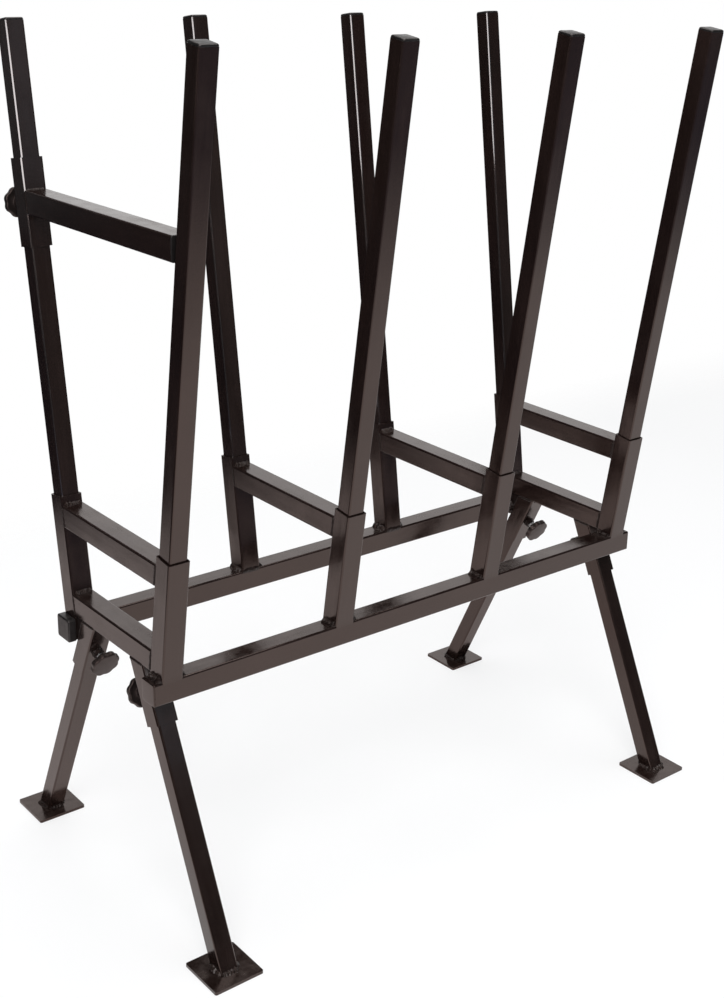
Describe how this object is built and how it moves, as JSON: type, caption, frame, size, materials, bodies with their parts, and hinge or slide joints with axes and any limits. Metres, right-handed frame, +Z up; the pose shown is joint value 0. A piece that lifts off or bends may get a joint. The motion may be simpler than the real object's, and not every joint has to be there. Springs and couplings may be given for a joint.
{
  "type": "log saw stand",
  "caption": "Welded square-tube saw stand with rows of lift-out V uprights for stacked logs, splayed slide-out legs on foot plates and a sliding log clamp.",
  "frame": {"origin": "on the floor, in the middle under the stand, level with the undersides of the foot plates", "axes": "+X along the rails, with the log clamp at the -X end; +Y across the rails, towards the side that carries the clamp sleeve; +Z up"},
  "size_m": [0.859, 0.5322, 1.1134],
  "materials": {
    "frame_paint": "glossy black-brown paint",
    "cap_plastic": "satin moulded plastic",
    "knob_plastic": "satin moulded plastic",
    "screw_steel": "bright zinc plate"
  },
  "bodies": {
    "root": {"rail_near": "frame_paint", "rail_far": "frame_paint", "upright_socket_near_1": "frame_paint", "upright_socket_near_2": "frame_paint", "upright_socket_near_3": "frame_paint", "upright_socket_near_4": "frame_paint", "upright_socket_far_1": "frame_paint", "upright_socket_far_2": "frame_paint", "upright_socket_far_3": "frame_paint", "upright_socket_far_4": "frame_paint", "upper_cross_tube_1": "frame_paint", "upper_cross_tube_2": "frame_paint", "upper_cross_tube_3": "frame_paint", "upper_cross_tube_4": "frame_paint", "lower_cross_tube_left": "frame_paint", "lower_cross_tube_right": "frame_paint", "leg_socket_near_left": "frame_paint", "leg_socket_near_right": "frame_paint", "leg_socket_far_left": "frame_paint", "leg_socket_far_right": "frame_paint", "leg_weld_nuts": "frame_paint", "rail_end_caps": "cap_plastic"},
    "upright_near_1": {"upright_near_1": "frame_paint", "upright_cap_near_1": "cap_plastic"},
    "upright_near_2": {"upright_near_2": "frame_paint", "upright_cap_near_2": "cap_plastic"},
    "upright_near_3": {"upright_near_3": "frame_paint", "upright_cap_near_3": "cap_plastic"},
    "upright_near_4": {"upright_near_4": "frame_paint", "upright_cap_near_4": "cap_plastic"},
    "upright_far_1": {"upright_far_1": "frame_paint", "upright_cap_far_1": "cap_plastic"},
    "upright_far_2": {"upright_far_2": "frame_paint", "upright_cap_far_2": "cap_plastic"},
    "upright_far_3": {"upright_far_3": "frame_paint", "upright_cap_far_3": "cap_plastic"},
    "upright_far_4": {"upright_far_4": "frame_paint", "upright_cap_far_4": "cap_plastic"},
    "leg_near_left": {"leg_near_left": "frame_paint", "foot_plate_near_left": "frame_paint"},
    "leg_screw_near_left": {"leg_screw_near_left": "screw_steel"},
    "leg_knob_near_left": {"leg_knob_near_left": "knob_plastic"},
    "leg_near_right": {"leg_near_right": "frame_paint", "foot_plate_near_right": "frame_paint"},
    "leg_screw_near_right": {"leg_screw_near_right": "screw_steel"},
    "leg_knob_near_right": {"leg_knob_near_right": "knob_plastic"},
    "leg_far_left": {"leg_far_left": "frame_paint", "foot_plate_far_left": "frame_paint"},
    "leg_screw_far_left": {"leg_screw_far_left": "screw_steel"},
    "leg_knob_far_left": {"leg_knob_far_left": "knob_plastic"},
    "leg_far_right": {"leg_far_right": "frame_paint", "foot_plate_far_right": "frame_paint"},
    "leg_screw_far_right": {"leg_screw_far_right": "screw_steel"},
    "leg_knob_far_right": {"leg_knob_far_right": "knob_plastic"},
    "log_clamp": {"clamp_sleeve": "frame_paint", "clamp_arm": "frame_paint", "clamp_arm_plug": "cap_plastic", "clamp_weld_nut": "frame_paint"},
    "clamp_screw": {"clamp_screw": "screw_steel"},
    "clamp_knob": {"clamp_knob": "knob_plastic"}
  },
  "joints": [
    {"name": "upright_near_1_lift", "type": "slide", "parent": "root", "child": "upright_near_1", "axis": [0, -0.1426, 0.9898], "range_m": [0, 0.165]},
    {"name": "upright_near_2_lift", "type": "slide", "parent": "root", "child": "upright_near_2", "axis": [0, -0.1426, 0.9898], "range_m": [0, 0.165]},
    {"name": "upright_near_3_lift", "type": "slide", "parent": "root", "child": "upright_near_3", "axis": [0, -0.1426, 0.9898], "range_m": [0, 0.165]},
    {"name": "upright_near_4_lift", "type": "slide", "parent": "root", "child": "upright_near_4", "axis": [0, -0.1426, 0.9898], "range_m": [0, 0.165]},
    {"name": "upright_far_1_lift", "type": "slide", "parent": "root", "child": "upright_far_1", "axis": [0, 0.1426, 0.9898], "range_m": [0, 0.165]},
    {"name": "upright_far_2_lift", "type": "slide", "parent": "root", "child": "upright_far_2", "axis": [0, 0.1426, 0.9898], "range_m": [0, 0.165]},
    {"name": "upright_far_3_lift", "type": "slide", "parent": "root", "child": "upright_far_3", "axis": [0, 0.1426, 0.9898], "range_m": [0, 0.165]},
    {"name": "upright_far_4_lift", "type": "slide", "parent": "root", "child": "upright_far_4", "axis": [0, 0.1426, 0.9898], "range_m": [0, 0.165]},
    {"name": "leg_near_left_slide", "type": "slide", "parent": "root", "child": "leg_near_left", "axis": [0, -0.4289, -0.9033], "range_m": [0, 0.075]},
    {"name": "leg_screw_near_left_advance", "type": "slide", "parent": "root", "child": "leg_screw_near_left", "axis": [0, 0.9033, -0.4289], "range_m": [0, 0.0025]},
    {"name": "leg_knob_near_left_turn", "type": "hinge", "parent": "leg_screw_near_left", "child": "leg_knob_near_left", "pos_m": [-0.3945, -0.04829, 0.30737], "axis": [0, 0.9033, -0.4289], "range_deg": [0, 720]},
    {"name": "leg_near_right_slide", "type": "slide", "parent": "root", "child": "leg_near_right", "axis": [0, -0.4289, -0.9033], "range_m": [0, 0.075]},
    {"name": "leg_screw_near_right_advance", "type": "slide", "parent": "root", "child": "leg_screw_near_right", "axis": [0, 0.9033, -0.4289], "range_m": [0, 0.0025]},
    {"name": "leg_knob_near_right_turn", "type": "hinge", "parent": "leg_screw_near_right", "child": "leg_knob_near_right", "pos_m": [0.3945, -0.04829, 0.30737], "axis": [0, 0.9033, -0.4289], "range_deg": [0, 720]},
    {"name": "leg_far_left_slide", "type": "slide", "parent": "root", "child": "leg_far_left", "axis": [0, 0.4289, -0.9033], "range_m": [0, 0.075]},
    {"name": "leg_screw_far_left_advance", "type": "slide", "parent": "root", "child": "leg_screw_far_left", "axis": [0, -0.9033, -0.4289], "range_m": [0, 0.0025]},
    {"name": "leg_knob_far_left_turn", "type": "hinge", "parent": "leg_screw_far_left", "child": "leg_knob_far_left", "pos_m": [-0.3945, 0.04829, 0.30737], "axis": [0, -0.9033, -0.4289], "range_deg": [0, 720]},
    {"name": "leg_far_right_slide", "type": "slide", "parent": "root", "child": "leg_far_right", "axis": [0, 0.4289, -0.9033], "range_m": [0, 0.075]},
    {"name": "leg_screw_far_right_advance", "type": "slide", "parent": "root", "child": "leg_screw_far_right", "axis": [0, -0.9033, -0.4289], "range_m": [0, 0.0025]},
    {"name": "leg_knob_far_right_turn", "type": "hinge", "parent": "leg_screw_far_right", "child": "leg_knob_far_right", "pos_m": [0.3945, 0.04829, 0.30737], "axis": [0, -0.9033, -0.4289], "range_deg": [0, 720]},
    {"name": "log_clamp_slide", "type": "slide", "parent": "upright_far_1", "child": "log_clamp", "axis": [0, 0.1426, 0.9898], "range_m": [0, 0.16]},
    {"name": "clamp_screw_advance", "type": "slide", "parent": "log_clamp", "child": "clamp_screw", "axis": [0, 0.9898, -0.1426], "range_m": [0, 0.0025]},
    {"name": "clamp_knob_turn", "type": "hinge", "parent": "clamp_screw", "child": "clamp_knob", "pos_m": [-0.3945, 0.22188, 0.88697], "axis": [0, 0.9898, -0.1426], "range_deg": [0, 720]}
  ],
  "couplings": [
    {"joint": "leg_screw_near_left_advance", "follows": "leg_knob_near_left_turn", "m_per_rad": 0.00019894},
    {"joint": "leg_screw_near_right_advance", "follows": "leg_knob_near_right_turn", "m_per_rad": 0.00019894},
    {"joint": "leg_screw_far_left_advance", "follows": "leg_knob_far_left_turn", "m_per_rad": 0.00019894},
    {"joint": "leg_screw_far_right_advance", "follows": "leg_knob_far_right_turn", "m_per_rad": 0.00019894},
    {"joint": "clamp_screw_advance", "follows": "clamp_knob_turn", "m_per_rad": 0.00019894}
  ]
}
